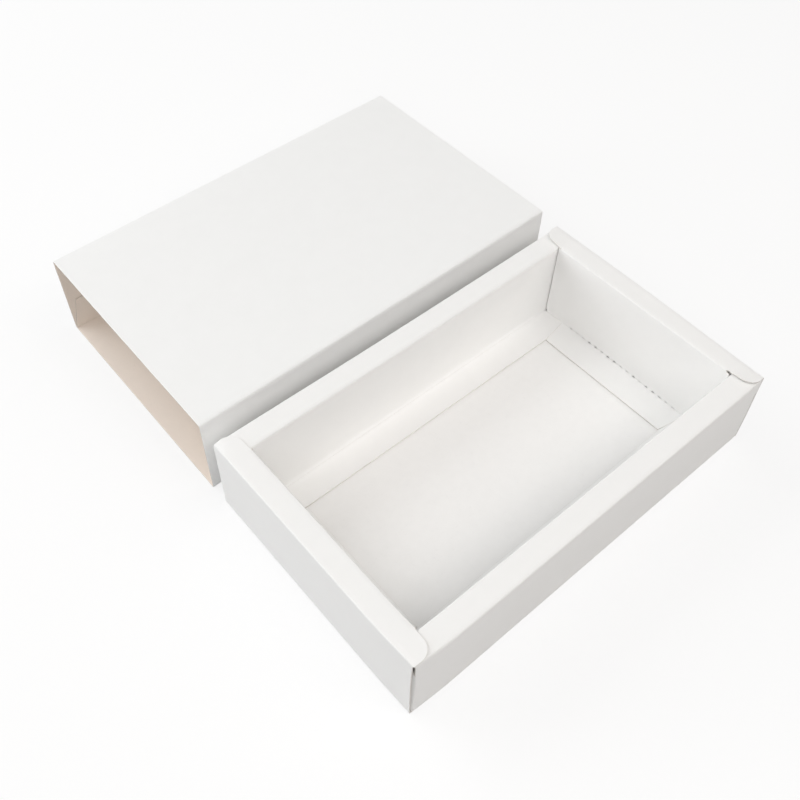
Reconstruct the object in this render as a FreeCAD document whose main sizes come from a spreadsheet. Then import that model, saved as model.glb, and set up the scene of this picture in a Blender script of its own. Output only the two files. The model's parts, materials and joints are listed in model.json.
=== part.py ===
"""White paperboard drawer box: a sleeve open at both ends and a tray with thick hollow walls.

Both are folded from flat board. Every panel between two creases is a body of its own. It is
drawn as a thin section whose folded ends are mitred at 45 degrees and rounded outside, padded
along its creases and set in place by its Placement. The tray lies beside the sleeve.
The frame has X along the box, Y across it and Z up, with its origin under the middle of both.
"""

import FreeCAD, Part
import enum
import math
import os
import Sketcher

# Driving sizes in millimetres: the cells of the spreadsheet.
SIZES = {
    "board_thickness": 0.6,
    "tray_length": 200.0,
    "tray_width": 121.0,
    "tray_height": 45.0,
    "sleeve_length": 200.0,
    "sliding_clearance": 0.4,
    "glue_flap_height": 18.6,
    "glue_flap_taper": 4.0,
    "lap_setback": 0.3,
    "standing_gap": 10.0,
    "rim_width": 11.0,
    "end_setback": 0.2,
    "ear_setback": 0.6,
    "ear_taper": 2.0,
    "ear_radius": 4.5,
    "inner_wall_gap": 0.25,
    "inner_wall_end_gap": 0.5,
    "layer_gap": 0.1,
    "long_flap_width": 13.5,
    "short_flap_width": 14.5,
    "flap_taper": 2.5,
    "flap_gap": 0.5,
    "tab_length": 30.0,
    "tab_clearance": 0.8,
    "tab_radius": 6.0,
    "slit_length": 2.0,
    "slit_pitch": 4.0,
    "slit_width": 0.25,
    "slit_margin": 4.0,
}

SHEET = "sizes"
X, Y, Z = FreeCAD.Vector(1, 0, 0), FreeCAD.Vector(0, 1, 0), FreeCAD.Vector(0, 0, 1)
TINY = 1e-6


class Spot(enum.IntEnum):
    """The points of a line or arc, as a sketch numbers them."""

    START = 1
    END = 2
    CENTRE = 3


class Axis(enum.IntEnum):
    """A sketch's own axes, as it numbers them. The origin is the start of either."""

    X = -1
    Y = -2


class Edge(enum.Enum):
    """How a panel ends."""

    CUT = "cut square"
    FOLD = "folded towards its inner face"
    COUNTERFOLD = "folded towards its outer face"


class Measure:
    """A size that carries both its value and the spreadsheet expression behind it."""

    def __init__(self, value, text):
        self.value = value
        self.text = text

    @staticmethod
    def of(other):
        return other if isinstance(other, Measure) else Measure(float(other), repr(float(other)))

    def __add__(self, other):
        other = Measure.of(other)
        return Measure(self.value + other.value, f"({self.text} + {other.text})")

    def __sub__(self, other):
        other = Measure.of(other)
        return Measure(self.value - other.value, f"({self.text} - {other.text})")

    def __mul__(self, other):
        other = Measure.of(other)
        return Measure(self.value * other.value, f"({self.text} * {other.text})")

    def __truediv__(self, other):
        other = Measure.of(other)
        return Measure(self.value / other.value, f"({self.text} / {other.text})")

    def __radd__(self, other):
        return Measure.of(other) + self

    def __rmul__(self, other):
        return Measure.of(other) * self

    def __neg__(self):
        return self * -1.0

    def whole(self):
        """The whole part of the measure, for a count."""
        return Measure(math.floor(self.value), f"floor({self.text})")


def cell(alias):
    """The measure held by one cell of the spreadsheet."""
    return Measure(SIZES[alias], f"{SHEET}.{alias}")


def bind(item, prop, measure):
    """Ties a property of a document object to its measure."""
    item.setExpression(prop, measure.text)


doc = FreeCAD.newDocument("drawer_box")
sheet = doc.addObject("Spreadsheet::Sheet", SHEET)
for row, (alias, number) in enumerate(SIZES.items(), start=1):
    sheet.set(f"A{row}", alias)
    sheet.set(f"B{row}", str(number))
    sheet.setAlias(f"B{row}", alias)
doc.recompute()

NONE = Measure(0.0, "0.0")
board = cell("board_thickness")
rim = cell("rim_width")
tray_length, tray_width, tray_height = cell("tray_length"), cell("tray_width"), cell("tray_height")
setback, gap = cell("end_setback"), cell("inner_wall_gap")
long_flap, short_flap, flap_taper = cell("long_flap_width"), cell("short_flap_width"), cell("flap_taper")

# The sleeve fits round the tray with the sliding clearance on every side.
sleeve_length = cell("sleeve_length")
sleeve_width = tray_width + 2 * (cell("sliding_clearance") + board)
sleeve_height = tray_height + 2 * (cell("sliding_clearance") + board)

# Sleeve and tray lie side by side, centred on the origin together.
half_spread = (sleeve_width + cell("standing_gap") + tray_width) / 2
sleeve_near = half_spread - sleeve_width
tray_centre = tray_width / 2 - half_spread

# Inside the tray, the long rims lie one board lower, under the ears of the short rims.
long_rim_height = tray_height - board
tab_layer = board + cell("layer_gap")
inner_span = tray_width - 2 * (rim + gap)
inner_wall_end = tab_layer + board + cell("inner_wall_end_gap")


def origin_plane(body, role):
    """The plane of the body's own origin that has this role."""
    return next(item for item in body.Origin.OriginFeatures if item.Role == role)


def new_sketch(body, name, role, raised=None):
    """A sketch on one of the body's origin planes, lifted along its normal if asked."""
    sketch = body.newObject("Sketcher::SketchObject", name)
    sketch.AttachmentSupport = [(origin_plane(body, role), "")]
    sketch.MapMode = "FlatFace"
    if raised is not None:
        bind(sketch, "AttachmentOffset.Base.z", raised)
    return sketch


def fix_point(sketch, geometry, point, across, up):
    """Holds one point of a sketch at two measures from the sketch's origin."""
    for kind, axis, measure in (("DistanceX", Axis.Y, across), ("DistanceY", Axis.X, up)):
        if abs(measure.value) < TINY:
            sketch.addConstraint(Sketcher.Constraint("PointOnObject", geometry, point, axis))
            continue
        rule = Sketcher.Constraint(kind, Axis.X, Spot.START, geometry, point, measure.value)
        bind(sketch, f"Constraints[{sketch.addConstraint(rule)}]", measure)


def line(sketch, start, end):
    """Adds a line between two points given as pairs of numbers."""
    return sketch.addGeometry(Part.LineSegment(FreeCAD.Vector(*start), FreeCAD.Vector(*end)), False)


def arc(sketch, centre, radius, first, last):
    """Adds an anticlockwise arc between two angles in radians."""
    circle = Part.Circle(FreeCAD.Vector(*centre), Z, radius)
    return sketch.addGeometry(Part.ArcOfCircle(circle, first, last), False)


def join(sketch, first, first_point, second, second_point):
    """Makes two points of a sketch coincide."""
    sketch.addConstraint(Sketcher.Constraint("Coincident", first, first_point, second, second_point))


def draw_end(sketch, kind, side, u, outer, inner):
    """Closes one end of a panel's section.

    side is 1 for the end at high u and -1 for the one at low u, and u is where the flat faces
    stop. A folded end is the eighth of a circle between one face and the mitre, about the end
    of the other face, on the side that the board folds to.
    """
    thick = board.value
    outer_spot, inner_spot = (Spot.END, Spot.START) if side > 0 else (Spot.START, Spot.END)
    if kind == Edge.CUT:
        edge = line(sketch, (u, 0), (u, thick))
        join(sketch, outer, outer_spot, edge, Spot.START)
        join(sketch, inner, inner_spot, edge, Spot.END)
        return
    if kind == Edge.FOLD:
        face, face_spot, apex, apex_spot = outer, outer_spot, inner, inner_spot
        centre, reach = (u, thick), -1
    else:
        face, face_spot, apex, apex_spot = inner, inner_spot, outer, outer_spot
        centre, reach = (u, 0), 1
    to_face = math.atan2(reach, 0)
    to_tip = math.atan2(reach, side)
    tip = (u + thick * math.cos(to_tip), centre[1] + thick * math.sin(to_tip))
    bend = arc(sketch, centre, thick, min(to_face, to_tip), max(to_face, to_tip))
    face_end, tip_end = (Spot.START, Spot.END) if to_face < to_tip else (Spot.END, Spot.START)
    mitre = line(sketch, centre, tip)
    join(sketch, bend, Spot.CENTRE, apex, apex_spot)
    join(sketch, bend, face_end, face, face_spot)
    join(sketch, mitre, Spot.START, apex, apex_spot)
    join(sketch, mitre, Spot.END, bend, tip_end)
    sketch.addConstraint(Sketcher.Constraint("Angle", mitre, to_tip))


def section(body, name, span, start, end, raised=None):
    """A panel's section: u along the span on X, the board's thickness on Y, outer face at 0."""
    sketch = new_sketch(body, name, "XY_Plane", raised)
    first = NONE if start == Edge.CUT else board
    last = span if end == Edge.CUT else span - board
    outer = line(sketch, (first.value, 0), (last.value, 0))
    inner = line(sketch, (last.value, board.value), (first.value, board.value))
    fix_point(sketch, outer, Spot.START, first, NONE)
    fix_point(sketch, outer, Spot.END, last, NONE)
    fix_point(sketch, inner, Spot.START, last, board)
    fix_point(sketch, inner, Spot.END, first, board)
    draw_end(sketch, end, 1, last.value, outer, inner)
    draw_end(sketch, start, -1, first.value, outer, inner)
    return sketch


def pad(body, sketch, name, length):
    """Pads a section along its creases."""
    feature = body.newObject("PartDesign::Pad", name)
    feature.Profile = (sketch, [""])
    bind(feature, "Length", length)
    return feature


def panel(name, span, length, start=Edge.FOLD, end=Edge.FOLD):
    """One flat panel: a section between two creases or edges, padded along them."""
    body = doc.addObject("PartDesign::Body", name)
    pad(body, section(body, f"{name}_section", span, start, end), f"{name}_board", length)
    return body


def outline_cut(body, name, corners):
    """Cuts a straight-sided piece of the outline off a panel, through its thickness."""
    sketch = new_sketch(body, f"{name}_outline", "XZ_Plane")
    count = len(corners)
    for this, (across, up) in enumerate(corners):
        following = corners[(this + 1) % count]
        line(sketch, (across.value, up.value), (following[0].value, following[1].value))
    for this, (across, up) in enumerate(corners):
        join(sketch, this, Spot.END, (this + 1) % count, Spot.START)
        fix_point(sketch, this, Spot.START, across, up)
    feature = body.newObject("PartDesign::Pocket", name)
    feature.Profile = (sketch, [""])
    feature.Type = "ThroughAll"
    feature.SideType = "Symmetric"
    return feature


def round_corners(body, name, radius, across, ups):
    """Rounds the outline's corners, found as the upright edges at u = across and w in ups."""
    doc.recompute()
    base = body.Tip
    chosen = []
    for number, edge in enumerate(base.Shape.Edges, start=1):
        ends = [vertex.Point for vertex in edge.Vertexes]
        if len(ends) != 2 or abs((ends[0] - ends[1]).dot(Y)) < board.value / 2:
            continue
        at_u = all(abs(point.x - across.value) < board.value / 10 for point in ends)
        at_w = any(all(abs(point.z - up.value) < board.value / 10 for point in ends) for up in ups)
        if at_u and at_w:
            chosen.append(f"Edge{number}")
    fillet = body.newObject("PartDesign::Fillet", name)
    fillet.Base = (base, chosen)
    bind(fillet, "Radius", radius)
    return fillet


def turned(u, v, w):
    """The rotation that sends a panel's span, thickness and crease onto these directions."""
    matrix = FreeCAD.Matrix(u.x, v.x, w.x, 0, u.y, v.y, w.y, 0, u.z, v.z, w.z, 0, 0, 0, 0, 1)
    return FreeCAD.Placement(matrix).Rotation


def place(item, label, rotation, across, along, up, turn=False):
    """Labels a sub-part and places it, after a half turn about the Z axis if asked.

    across and along are X and Y from the middle of the sleeve or the tray, before the turn.
    """
    if turn:
        rotation = FreeCAD.Rotation(Z, 180) * rotation
    item.Label = label
    item.Placement = FreeCAD.Placement(FreeCAD.Vector(0, 0, 0), rotation)
    bind(item, "Placement.Base.x", across)
    bind(item, "Placement.Base.y", along)
    bind(item, "Placement.Base.z", up)
    return item


def fused(name, first, second):
    """Two crossing strips of the same board as one panel."""
    panel_pair = doc.addObject("Part::MultiFuse", name)
    panel_pair.Shapes = [first, second]
    panel_pair.Refine = True
    return panel_pair


def build_sleeve():
    """The sleeve: four panels in a ring and a flap glued inside the far wall."""
    low_x = sleeve_length / -2
    far = sleeve_near + sleeve_width
    parts = []
    base = panel("sleeve_base", sleeve_width - board, sleeve_length)
    parts.append(place(base, "sleeve_base_panel", turned(Y, Z, X), low_x, sleeve_near, NONE))
    far_wall = panel("sleeve_far", sleeve_height - cell("lap_setback"), sleeve_length, start=Edge.CUT)
    parts.append(place(far_wall, "sleeve_far_wall", turned(Z, -Y, X), low_x, far, cell("lap_setback")))
    top = panel("sleeve_top", sleeve_width, sleeve_length)
    parts.append(place(top, "sleeve_top_panel", turned(-Y, -Z, X), low_x, far, sleeve_height))
    near_wall = panel("sleeve_near", sleeve_height, sleeve_length)
    parts.append(place(near_wall, "sleeve_near_wall", turned(-Z, Y, X), low_x, sleeve_near, sleeve_height))

    height, taper = cell("glue_flap_height"), cell("glue_flap_taper")
    flap = panel("glue_flap", height, sleeve_length, end=Edge.CUT)
    outline_cut(flap, "mouth_taper", [(board, NONE), (height, NONE), (height, taper)])
    far_end = sleeve_length - taper
    outline_cut(flap, "back_taper", [(board, sleeve_length), (height, far_end), (height, sleeve_length)])
    parts.append(place(flap, "sleeve_glue_flap", turned(Z, -Y, X), low_x, far - board, NONE))
    return parts


def build_tray_base():
    """The tray's floor panel: strips both ways, each with its folds at the ends."""
    along = panel("tray_base_along", tray_length, tray_width - 2 * board)
    along.Placement = FreeCAD.Placement(FreeCAD.Vector(0, 0, 0), turned(X, Z, -Y))
    bind(along, "Placement.Base.x", tray_length / -2)
    bind(along, "Placement.Base.y", tray_width / 2 - board)
    across = panel("tray_base_across", tray_width, tray_length - 2 * tab_layer)
    across.Placement = FreeCAD.Placement(FreeCAD.Vector(0, 0, 0), turned(Y, Z, X))
    bind(across, "Placement.Base.x", tray_length / -2 + tab_layer)
    bind(across, "Placement.Base.y", tray_width / -2)
    base = fused("tray_base_strips", along, across)
    return [place(base, "tray_base", FreeCAD.Rotation(), NONE, tray_centre, NONE)]


def build_long_side(side):
    """One long side of the tray: outer wall, rim, inner wall, floor flap and two corner tabs."""
    turn = side == "far"
    sign = -1.0 if turn else 1.0
    low_x = tray_length / -2
    edge = tray_width / -2
    parts = []

    def seat(item, name, rotation, x, y, z):
        parts.append(place(item, f"{side}_{name}", rotation, sign * x, tray_centre + sign * y, z, turn))

    tab_low = board + cell("tab_clearance")
    tab_height = long_rim_height - board - cell("tab_clearance") - tab_low
    standing = panel(f"{side}_wall_standing", long_rim_height, tray_length - 2 * (tab_layer + board))
    standing.Placement = FreeCAD.Placement(FreeCAD.Vector(0, 0, 0), turned(-Z, Y, X))
    bind(standing, "Placement.Base.x", low_x + tab_layer + board)
    bind(standing, "Placement.Base.z", long_rim_height)
    lying = panel(f"{side}_wall_lying", tray_length - 2 * tab_layer, tab_height)
    lying.Placement = FreeCAD.Placement(FreeCAD.Vector(0, 0, 0), turned(X, Y, Z))
    bind(lying, "Placement.Base.x", low_x + tab_layer)
    bind(lying, "Placement.Base.z", tab_low)
    outer = fused(f"{side}_wall_strips", standing, lying)
    seat(outer, "outer_wall", FreeCAD.Rotation(), NONE, edge, NONE)

    top = panel(f"{side}_rim_panel", rim, tray_length - 2 * tab_layer)
    seat(top, "rim", turned(-Y, -Z, X), low_x + tab_layer, edge + rim, long_rim_height)

    inner = panel(
        f"{side}_inner_panel", long_rim_height - board, tray_length - 2 * inner_wall_end,
        start=Edge.COUNTERFOLD,
    )
    seat(inner, "inner_wall", turned(Z, -Y, X), low_x + inner_wall_end, edge + rim, board)

    span, length = long_flap + board, tray_length - 2 * (rim + gap)
    flap = panel(f"{side}_flap_panel", span, length, end=Edge.CUT)
    run = short_flap - gap
    drop = flap_taper * run / short_flap
    outline_cut(flap, f"{side}_left_taper", [(span, NONE), (span, run), (span - drop, NONE)])
    outline_cut(flap, f"{side}_right_taper", [(span, length), (span - drop, length), (span, length - run)])
    seat(flap, "floor_flap", turned(Y, Z, X), low_x + rim + gap, edge + rim - board, board)

    reach = cell("tab_length")
    left = panel(f"{side}_first_tab", reach, tab_height, start=Edge.CUT)
    round_corners(left, f"{side}_first_tab_corners", cell("tab_radius"), NONE, (NONE, tab_height))
    right = panel(f"{side}_second_tab", reach, tab_height, end=Edge.CUT)
    round_corners(right, f"{side}_second_tab_corners", cell("tab_radius"), reach, (NONE, tab_height))
    first, second = ("right", "left") if turn else ("left", "right")
    seat(left, f"{first}_tab", turned(-Y, X, Z), low_x + tab_layer, edge + reach, tab_low)
    seat(right, f"{second}_tab", turned(Y, -X, Z), -(low_x + tab_layer), edge, tab_low)
    return parts


def origin_axis(body, role):
    """The axis of the body's own origin that has this role."""
    return next(item for item in body.Origin.OriginFeatures if item.Role == role)


def cut_slits(body, name, hinge_face, hinge_start, hinge_length):
    """The cut and crease line: a row of short slits, centred on the hinge, through its fold."""
    pitch, slit = cell("slit_pitch"), cell("slit_length")
    repeats = ((hinge_length - 2 * cell("slit_margin") - slit) / pitch).whole()
    run = repeats * pitch
    begin = hinge_start + (hinge_length - run - slit) / 2
    end = begin + slit
    low, high = hinge_face - cell("slit_width"), hinge_face + board
    first = outline_cut(body, f"{name}_slit", [(low, begin), (high, begin), (high, end), (low, end)])
    row = body.newObject("PartDesign::LinearPattern", f"{name}_slits")
    row.Originals = [first]
    row.Direction = (origin_axis(body, "Z_Axis"), [""])
    row.Mode = "Extent"
    bind(row, "Occurrences", repeats + 1)
    bind(row, "Length", run)
    body.Tip = row


def build_short_end(side):
    """One short end of the tray: outer wall, rim with two ears, inner wall and floor flap."""
    turn = side == "right"
    sign = -1.0 if turn else 1.0
    low_x = tray_length / -2
    edge = tray_width / -2
    outer_length = tray_width - 2 * setback
    parts = []

    def seat(item, name, rotation, x, y, z):
        parts.append(place(item, f"{side}_{name}", rotation, sign * x, tray_centre + sign * y, z, turn))

    outer = panel(f"{side}_outer_panel", tray_height, outer_length)
    seat(outer, "end_outer_wall", turned(Z, X, Y), low_x, edge + setback, NONE)

    # Each ear narrows from its root, beside the middle of the rim, to its rounded tip.
    ear_reach = rim - cell("ear_setback")
    ear_tip = ear_reach - cell("ear_taper")
    root = rim + gap - setback
    far_root = outer_length - root
    top = panel(f"{side}_rim_panel", ear_reach, outer_length, end=Edge.CUT)
    outline_cut(top, f"{side}_near_ear", [(ear_reach, NONE), (ear_reach, root), (ear_tip, NONE)])
    outline_cut(
        top, f"{side}_far_ear", [(ear_reach, far_root), (ear_reach, outer_length), (ear_tip, outer_length)]
    )
    round_corners(top, f"{side}_ear_tips", cell("ear_radius"), ear_tip, (NONE, outer_length))
    middle = section(top, f"{side}_rim_middle", rim, Edge.FOLD, Edge.FOLD, root)
    pad(top, middle, f"{side}_rim_middle_board", inner_span)
    seat(top, "end_rim", turned(X, -Z, Y), low_x, edge + setback, tray_height)

    # The floor flap's hinge is shorter than the inner wall, to pass between the long flaps.
    flap_start = rim + long_flap - flap_taper + cell("flap_gap")
    length = tray_width - 2 * flap_start

    span = tray_height - board
    inner = panel(f"{side}_inner_panel", span, inner_span, end=Edge.COUNTERFOLD)
    cut_slits(inner, f"{side}_wall", span - board, flap_start - rim - gap, length)
    seat(inner, "end_inner_wall", turned(-Z, -X, Y), low_x + rim, edge + rim + gap, tray_height)

    span = short_flap + board
    flap = panel(f"{side}_flap_panel", span, length, start=Edge.CUT)
    cut_slits(flap, f"{side}_flap", short_flap, NONE, length)
    outline_cut(flap, f"{side}_near_taper", [(NONE, NONE), (short_flap, NONE), (NONE, flap_taper)])
    outline_cut(
        flap, f"{side}_far_taper", [(NONE, length), (NONE, length - flap_taper), (short_flap, length)]
    )
    seat(flap, "end_floor_flap", turned(-X, Z, Y), low_x + rim + short_flap, edge + flap_start, board)
    return parts


def check(parts):
    """Stops if any object failed or any sub-part isn't one whole solid."""
    for item in doc.Objects:
        if "Invalid" in item.State or "Error" in item.State:
            raise RuntimeError(f"{item.Name} failed: {item.State}")
        if item.TypeId == "Sketcher::SketchObject" and not item.FullyConstrained:
            raise RuntimeError(f"{item.Name} isn't fully constrained")
    for item in parts:
        if item.Shape.isNull() or not item.Shape.isValid() or len(item.Shape.Solids) != 1:
            raise RuntimeError(f"{item.Label} isn't one valid solid")


def main():
    parts = build_sleeve() + build_tray_base()
    for side in ("near", "far"):
        parts += build_long_side(side)
    for side in ("left", "right"):
        parts += build_short_end(side)
    doc.recompute()
    check(parts)
    os.makedirs("parts", exist_ok=True)
    for item in parts:
        item.Shape.exportStep(os.path.join("parts", f"{item.Label}.step"))
        box = item.Shape.BoundBox
        print(
            f"{item.Label:24s} volume {item.Shape.Volume:9.2f}  "
            f"x {box.XMin:8.2f} {box.XMax:8.2f}  y {box.YMin:8.2f} {box.YMax:8.2f}  "
            f"z {box.ZMin:6.2f} {box.ZMax:6.2f}"
        )


main()
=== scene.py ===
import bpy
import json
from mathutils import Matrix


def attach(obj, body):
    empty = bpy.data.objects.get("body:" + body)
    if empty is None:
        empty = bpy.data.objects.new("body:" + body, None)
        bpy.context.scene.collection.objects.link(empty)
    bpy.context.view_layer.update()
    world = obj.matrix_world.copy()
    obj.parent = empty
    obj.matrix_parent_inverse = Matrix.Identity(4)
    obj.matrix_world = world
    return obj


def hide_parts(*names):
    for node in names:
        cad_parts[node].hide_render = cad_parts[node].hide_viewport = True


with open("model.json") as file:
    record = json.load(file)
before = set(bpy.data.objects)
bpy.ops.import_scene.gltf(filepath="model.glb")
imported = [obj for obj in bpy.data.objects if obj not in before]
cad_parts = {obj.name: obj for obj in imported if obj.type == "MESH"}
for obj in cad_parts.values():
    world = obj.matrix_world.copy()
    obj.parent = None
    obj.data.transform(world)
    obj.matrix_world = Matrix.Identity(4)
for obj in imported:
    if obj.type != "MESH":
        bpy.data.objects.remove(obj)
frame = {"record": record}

"""Looks of a drawer gift box of white folding board: a glued sleeve and, beside it, its tray.

Every panel between two creases is one closed sheet of board. All sizes are in millimetres until
a mesh is written, which is in metres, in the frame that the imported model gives.
"""
import json
import logging
import math
from dataclasses import dataclass, field
from enum import Enum
from typing import Any, Callable

import bpy
import numpy as np

Vec = tuple[float, float, float]
Colour = tuple[float, float, float]
Side = Callable[[np.ndarray], np.ndarray]
Shape = Callable[[np.ndarray, np.ndarray], np.ndarray]

MM = 0.001
BOARD = 0.6
SEED = 20
TURN = 6.283
LOG = logging.getLogger("gift_box")

X, Y, Z = (1, 0, 0), (0, 1, 0), (0, 0, 1)
MINUS_X, MINUS_Y, MINUS_Z = (-1, 0, 0), (0, -1, 0), (0, 0, -1)


class Edge(Enum):
    """How a panel's side ends."""

    CUT = 0
    FOLD = 1
    COUNTERFOLD = 2


CUT, FOLD, COUNTERFOLD = Edge
MATERIAL, WORLD = "ShaderNodeOutputMaterial", "ShaderNodeOutputWorld"

# ---------------------------------------------------------------- shader maths


class Signal:
    """A socket that a number comes out of. Arithmetic on it adds Math nodes."""

    def __init__(self, tree: "Tree", socket: bpy.types.NodeSocket) -> None:
        """Keeps the tree and the socket."""
        self.tree = tree
        self.socket = socket

    def _math(self, operation: str, *values: Any) -> "Signal":
        """One Math node.

        Args:
            operation: The node's operation.
            values: Its inputs in order, numbers or signals.
        Returns:
            The result.
        """
        return self.tree.add("Math", {"operation": operation}, dict(enumerate(values)), 0)

    def __add__(self, other: Any) -> "Signal":
        """Sum."""
        return self._math("ADD", self, other)

    def __radd__(self, other: Any) -> "Signal":
        """Sum, other way round."""
        return self._math("ADD", other, self)

    def __sub__(self, other: Any) -> "Signal":
        """Difference."""
        return self._math("SUBTRACT", self, other)

    def __rsub__(self, other: Any) -> "Signal":
        """Difference, other way round."""
        return self._math("SUBTRACT", other, self)

    def __mul__(self, other: Any) -> "Signal":
        """Product."""
        return self._math("MULTIPLY", self, other)

    def __rmul__(self, other: Any) -> "Signal":
        """Product, other way round."""
        return self._math("MULTIPLY", other, self)

    def __pow__(self, other: Any) -> "Signal":
        """Power."""
        return self._math("POWER", self, other)

    def above(self, edge: float, softness: float) -> "Signal":
        """0 below an edge and 1 above it, with a smooth step.

        Args:
            edge: The middle of the step.
            softness: Half of its width.
        Returns:
            The step.
        """
        values = {"Value": self, "From Min": edge - softness, "From Max": edge + softness}
        settings = {"interpolation_type": "SMOOTHSTEP"}
        return self.tree.add("MapRange", settings, values, "Result")


@dataclass(frozen=True)
class Grain:
    """How fine a noise is: features for each unit of length, octaves and stretch."""

    scale: float
    detail: float
    stretch: Vec = (1, 1, 1)


class Tree:
    """The nodes of one material or world."""

    def __init__(self, node_tree: bpy.types.NodeTree) -> None:
        """Empties the tree and keeps it."""
        self.nodes = node_tree.nodes
        self.links = node_tree.links
        self.nodes.clear()

    def make(
        self, kind: str, settings: dict[str, Any], values: dict[Any, Any]
    ) -> bpy.types.Node:
        """Adds a node.

        Args:
            kind: The node's type, without the usual prefix.
            settings: Its properties, which are set first.
            values: Its sockets by name or number, as numbers, colours or signals.
        Returns:
            The node.
        """
        node = self.nodes.new("ShaderNode" + kind)
        for name, value in settings.items():
            setattr(node, name, value)
        for key, value in values.items():
            socket = node.inputs[key]
            if isinstance(value, Signal):
                self.links.new(value.socket, socket)
            else:
                socket.default_value = value
        return node

    def add(
        self, kind: str, settings: dict[str, Any], values: dict[Any, Any], out: Any
    ) -> Signal:
        """Adds a node and gives one of its outputs.

        Args:
            kind: The node's type, without the usual prefix.
            settings: Its properties.
            values: Its sockets.
            out: The output's name or number.
        Returns:
            The output.
        """
        return Signal(self, self.make(kind, settings, values).outputs[out])

    def mix(self, share: Any, first: Any, second: Any, blend: str = "MIX") -> Signal:
        """Mixes two colours.

        Args:
            share: How much of the second shows.
            first: A colour.
            second: A colour.
            blend: The way they mix.
        Returns:
            The colour.
        """
        values = {0: share, 6: padded(first), 7: padded(second)}
        return self.add("Mix", {"data_type": "RGBA", "blend_type": blend}, values, 2)

    def noise(self, where: Signal, grain: Grain) -> Signal:
        """Fractal noise about 0.5, of that grain, on those coordinates."""
        placed = self.add("Mapping", {}, {"Vector": where, "Scale": grain.stretch}, 0)
        values = {"Vector": placed, "Scale": grain.scale, "Detail": grain.detail,
                  "Roughness": 0.55}
        return self.add("TexNoise", {}, values, 0)

    def attribute(self, name: str) -> Signal:
        """A number that the mesh carries."""
        return self.add("Attribute", {"attribute_name": name}, {}, "Fac")

    def finish(self, kind: str, surface: bpy.types.NodeSocket) -> None:
        """Adds the output node of a material or a world."""
        self.links.new(surface, self.nodes.new(kind).inputs["Surface"])

    def blend(
        self, kind: str, share: Signal, first: bpy.types.Node, second: bpy.types.Node
    ) -> None:
        """Mixes two shaders and finishes with the mixture."""
        mixed = self.make("MixShader", {}, {0: share})
        self.links.new(first.outputs[0], mixed.inputs[1])
        self.links.new(second.outputs[0], mixed.inputs[2])
        self.finish(kind, mixed.outputs[0])

    def board(
        self, tone: Signal, gloss: Signal, specular: float, height: Signal,
        bump: tuple[float, float],
    ) -> None:
        """Finishes with the shader of a board's surface.

        Args:
            tone: Its colour.
            gloss: Its roughness.
            specular: Its specular level.
            height: Its relief.
            bump: The relief's strength and its height in metres.
        """
        values = {"Height": height, "Strength": bump[0], "Distance": bump[1]}
        normal = self.add("Bump", {}, values, 0)
        values = {"Base Color": tone, "Roughness": gloss, "Normal": normal,
                  "Specular IOR Level": specular}
        self.finish(MATERIAL, self.make("BsdfPrincipled", {}, values).outputs[0])


def new_material(name: str) -> tuple[bpy.types.Material, Tree, Signal]:
    """A material, its empty tree and Object coordinates in it."""
    material = bpy.data.materials.new(name)
    material.use_nodes = True
    tree = Tree(material.node_tree)
    return material, tree, tree.add("TexCoord", {}, {}, "Object")


def padded(colour: Any) -> Any:
    """A colour with its alpha, or the signal as it is."""
    return (*colour, 1.0) if isinstance(colour, tuple) else colour


def linear(colour: Colour) -> Colour:
    """A colour of 0 to 1, as a screen writes it, in linear light."""
    return tuple(c / 12.92 if c <= 0.04045 else ((c + 0.055) / 1.055) ** 2.4 for c in colour)


def shaded(colour: Colour, factor: float) -> Colour:
    """A colour times a factor."""
    return tuple(min(c * factor, 1.0) for c in colour)


# ---------------------------------------------------------------- finishes


@dataclass(frozen=True)
class Coated:
    """The smooth coated face of the board, cracked a little on its creases."""

    name: str
    colour: Colour
    roughness: float = 0.58
    gloss_range: float = 0.14
    specular: float = 0.34
    mottle: float = 0.006
    streak: float = 0.006
    crack_shade: float = 0.8
    cloud: Grain = Grain(160, 3)
    pore: Grain = Grain(1400, 2)
    fibre: Grain = Grain(90, 2, (9, 0.8, 1))
    crack: Grain = Grain(60, 3, (14, 2.2, 1))
    bump: tuple[float, float] = (0.06, 0.0002)

    def build(self) -> bpy.types.Material:
        """Makes the material.

        Returns:
            Clouds of the coating, streaks of the fibres under it, and hairline cracks and
            a duller gloss where the crease attribute says that the board is folded.
        """
        material, tree, place = new_material(self.name)
        sheet = tree.add("UVMap", {"uv_map": "Sheet"}, {}, 0)
        crease = tree.attribute("crease")
        clouds = tree.noise(place, self.cloud)
        pores = tree.noise(place, self.pore)
        fibres = tree.noise(sheet, self.fibre)
        cracks = tree.noise(sheet, self.crack).above(0.6, 0.06) * crease

        base = linear(self.colour)
        dark, light = shaded(base, 1 - self.mottle), shaded(base, 1 + self.mottle)
        tone = tree.mix(clouds.above(0.5, 0.25), dark, light)
        tone = tree.mix(fibres.above(0.5, 0.3) * 0.5, tone, shaded(base, 1 - self.streak))
        tone = tree.mix(cracks * 0.35, tone, shaded(base, self.crack_shade))
        height = pores * 0.5 + fibres * 0.5 - cracks * 1.4
        gloss = (clouds - 0.5) * self.gloss_range + crease * self.gloss_range + self.roughness
        tree.board(tone, gloss, self.specular, height, self.bump)
        return material


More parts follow.
